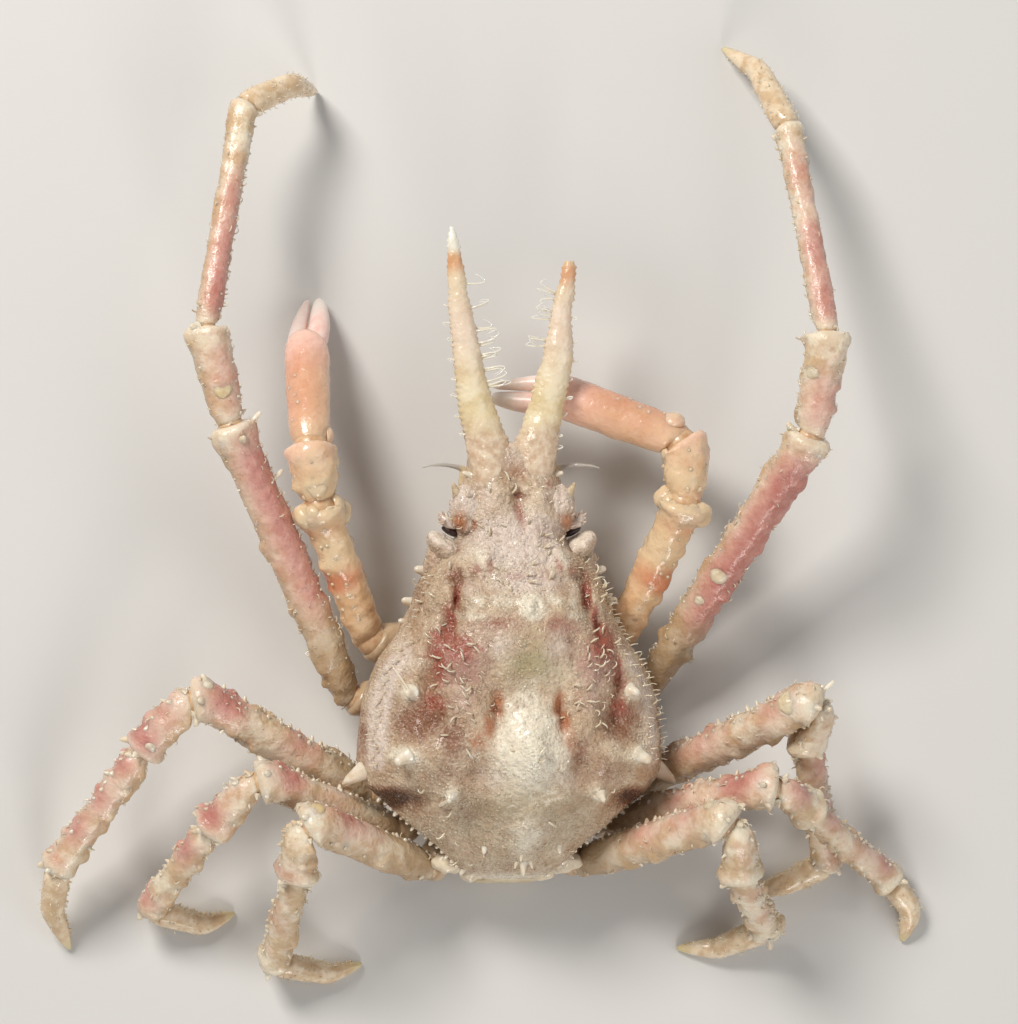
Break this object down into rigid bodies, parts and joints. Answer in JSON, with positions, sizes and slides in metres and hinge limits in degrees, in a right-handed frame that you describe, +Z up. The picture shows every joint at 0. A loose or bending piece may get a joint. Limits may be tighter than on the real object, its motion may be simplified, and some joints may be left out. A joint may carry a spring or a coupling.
{
  "type": "spider crab model (hyastenus hilgendorfi)",
  "caption": "Still, life-size spider crab with two long rostral spines, a pear-shaped granular carapace and slender jointed legs, at rest on its belly.",
  "frame": {"origin": "middle of the bounding box at the floor that the belly and the leg tips rest on", "axes": "+Z up, the head faces -Y, +X is the animal's own left"},
  "size_m": [0.0576, 0.0616, 0.0138],
  "materials": {
    "carapace": "wet, granular shell, beige with dark red grooves",
    "rostrum": "smooth cream shell, orange band near the tip",
    "underside": "smooth cream shell",
    "eye": "wet, purple-brown",
    "antenna": "thin shell",
    "mouthparts": "smooth shell",
    "cheliped": "smooth orange and cream shell",
    "finger": "smooth pink shell",
    "walking_leg": "granular shell banded pink and cream",
    "claw": "granular shell with a horny yellow tip"
  },
  "bodies": {
    "root": {"carapace": "carapace", "thorax": "underside", "abdomen": "underside", "rostral_spine_left": "rostrum", "eye_left": "eye", "antenna_left": "antenna", "maxilliped_left": "mouthparts", "leg1_merus_left": "cheliped", "leg1_carpus_left": "cheliped", "leg1_palm_left": "cheliped", "leg1_finger_left": "finger", "leg2_merus_left": "walking_leg", "leg2_carpus_left": "walking_leg", "leg2_propodus_left": "walking_leg", "leg2_dactyl_left": "claw", "leg3_merus_left": "walking_leg", "leg3_carpus_left": "walking_leg", "leg3_propodus_left": "walking_leg", "leg3_dactyl_left": "claw", "leg4_merus_left": "walking_leg", "leg4_carpus_left": "walking_leg", "leg4_propodus_left": "walking_leg", "leg4_dactyl_left": "claw", "leg5_merus_left": "walking_leg", "leg5_carpus_left": "walking_leg", "leg5_propodus_left": "walking_leg", "leg5_dactyl_left": "claw", "rostral_spine_right": "rostrum", "eye_right": "eye", "antenna_right": "antenna", "maxilliped_right": "mouthparts", "leg1_merus_right": "cheliped", "leg1_carpus_right": "cheliped", "leg1_palm_right": "cheliped", "leg1_finger_right": "finger", "leg2_merus_right": "walking_leg", "leg2_carpus_right": "walking_leg", "leg2_propodus_right": "walking_leg", "leg2_dactyl_right": "claw", "leg3_merus_right": "walking_leg", "leg3_carpus_right": "walking_leg", "leg3_propodus_right": "walking_leg", "leg3_dactyl_right": "claw", "leg4_merus_right": "walking_leg", "leg4_carpus_right": "walking_leg", "leg4_propodus_right": "walking_leg", "leg4_dactyl_right": "claw", "leg5_merus_right": "walking_leg", "leg5_carpus_right": "walking_leg", "leg5_propodus_right": "walking_leg", "leg5_dactyl_right": "claw"}
  },
  "joints": []
}
